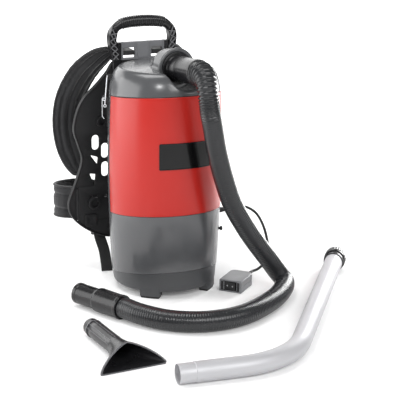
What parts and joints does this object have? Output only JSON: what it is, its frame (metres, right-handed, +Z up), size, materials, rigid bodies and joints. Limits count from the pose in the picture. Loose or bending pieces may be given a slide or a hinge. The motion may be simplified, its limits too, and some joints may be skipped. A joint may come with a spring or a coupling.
{
  "type": "backpack vacuum cleaner",
  "caption": "Canister vacuum worn on a padded back frame, with a ribbed hose, bent metal wand, floor tool and cord switch.",
  "frame": {"origin": "on the floor under the canister's axis, at the underside of the middle foot", "axes": "-Y the canister's front with the red cover, +Y the wearer's side with the back plate, +Z up"},
  "size_m": [0.7276, 0.8092, 0.5729],
  "materials": {
    "grey_shell": "semi-gloss moulded grey",
    "base_grey": "satin moulded dark grey",
    "red_cover": "glossy red",
    "plate_black": "satin black blank plate",
    "rubber": "matt black rubber",
    "steel": "zinc-plated steel",
    "chromed": "bright chrome plate",
    "black_plastic": "satin black moulded plastic",
    "mid_plastic": "satin mid-grey moulded plastic",
    "fabric_black": "padded black nylon fabric",
    "webbing": "woven black nylon webbing",
    "hose_black": "ribbed flexible black vinyl",
    "alloy": "polished aluminium tube",
    "cloth": "off-white filter cloth",
    "paper": "brown filter paper",
    "card": "pressed card",
    "winding": "copper winding and steel stack",
    "foam": "grey filter foam"
  },
  "bodies": {
    "canister": {"tub": "grey_shell", "front_cover": "red_cover", "name_plate": "plate_black", "base_cap": "base_grey", "feet": "rubber", "base_screws": "steel", "latch_base_left": "black_plastic", "latch_base_right": "black_plastic", "back_plate": "black_plastic", "carry_handle": "black_plastic", "cross_plate": "mid_plastic", "plate_spacers": "black_plastic", "plate_screws": "steel", "shoulder_pad_left": "fabric_black", "shoulder_pad_right": "fabric_black", "strap_left": "webbing", "strap_right": "webbing", "strap_buckles": "black_plastic", "belt_wing_left": "fabric_black", "belt_wing_right": "fabric_black", "belt_webbing": "webbing", "belt_buckle": "black_plastic", "tail_left": "webbing", "tail_right": "webbing", "hose": "hose_black", "cord_gland": "rubber", "switch_cord": "rubber", "switch_relief": "rubber", "switch_base": "black_plastic", "switch_cover": "mid_plastic", "cloth_filter": "cloth", "bag_ring": "black_plastic", "dust_bag": "paper", "bag_collar": "card", "motor_deck": "base_grey", "deck_screws": "steel", "deck_gasket": "rubber", "fan_cover": "steel", "motor_shell": "base_grey", "motor_stator": "winding", "motor_bearings": "steel", "exhaust_filter": "foam"},
    "lid": {"lid": "grey_shell", "lid_gasket": "rubber", "port_bush": "black_plastic", "keeper_left": "black_plastic", "keeper_right": "black_plastic"},
    "hose_cuff": {"hose_cuff": "hose_black"},
    "lever_left": {"latch_lever_left": "chromed"},
    "lever_right": {"latch_lever_right": "chromed"},
    "bail_left": {"latch_bail_left": "chromed"},
    "bail_right": {"latch_bail_right": "chromed"},
    "hose_end_cuff": {"hose_end_cuff": "hose_black"},
    "rocker": {"switch_rocker": "black_plastic"},
    "wand": {"wand": "alloy"},
    "wand_collar": {"wand_collar": "black_plastic"},
    "tool": {"combination_tool": "black_plastic"},
    "fan": {"fan_wheel": "alloy", "motor_rotor": "steel"}
  },
  "joints": [
    {"name": "lid_lift", "type": "slide", "parent": "canister", "child": "lid", "axis": [0, 0, 1], "range_m": [0, 0.11], "deforming": ["hose"]},
    {"name": "cuff_turn", "type": "hinge", "parent": "lid", "child": "hose_cuff", "pos_m": [0.00563, -0.05357, 0.48677], "axis": [0.1043, -0.9921, 0.0698], "continuous": true},
    {"name": "lever_left_swing", "type": "hinge", "parent": "canister", "child": "lever_left", "pos_m": [-0.12062, 0.0439, 0.414], "axis": [0.342, 0.9397, 0], "range_deg": [0, 100]},
    {"name": "lever_right_swing", "type": "hinge", "parent": "canister", "child": "lever_right", "pos_m": [0.12062, 0.0439, 0.414], "axis": [0.342, -0.9397, 0], "range_deg": [0, 100]},
    {"name": "bail_left_swing", "type": "hinge", "parent": "canister", "child": "bail_left", "pos_m": [-0.11968, 0.04356, 0.401], "axis": [-0.342, -0.9397, 0], "range_deg": [0, 95]},
    {"name": "bail_right_swing", "type": "hinge", "parent": "canister", "child": "bail_right", "pos_m": [0.11968, 0.04356, 0.401], "axis": [-0.342, 0.9397, 0], "range_deg": [0, 95]},
    {"name": "end_cuff_turn", "type": "hinge", "parent": "canister", "child": "hose_end_cuff", "pos_m": [-0.16513, -0.18073, 0.025], "axis": [-0.4229, 0.9062, 0], "continuous": true},
    {"name": "rocker_tip", "type": "hinge", "parent": "canister", "child": "rocker", "pos_m": [0.10992, -0.11327, 0.014], "axis": [0, 0, 1], "range_deg": [0, 16]},
    {"name": "fan_spin", "type": "hinge", "parent": "canister", "child": "fan", "pos_m": [0, 0, 0.14], "axis": [0, 0, 1], "continuous": true},
    {"name": "wand_lift", "type": "slide", "parent": "canister", "child": "wand", "axis": [0, 0, 1], "range_m": [0, 0.2]},
    {"name": "wand_collar_turn", "type": "hinge", "parent": "wand", "child": "wand_collar", "pos_m": [0.40104, -0.05386, 0.02582], "axis": [0.592, 0.8059, 0.0094], "range_deg": [0, 120]},
    {"name": "tool_lift", "type": "slide", "parent": "canister", "child": "tool", "axis": [0, 0, 1], "range_m": [0, 0.2]}
  ],
  "couplings": [
    {"joint": "bail_left_swing", "follows": "lid_lift", "rad_per_m": 15.073},
    {"joint": "bail_right_swing", "follows": "lid_lift", "rad_per_m": 15.073}
  ]
}
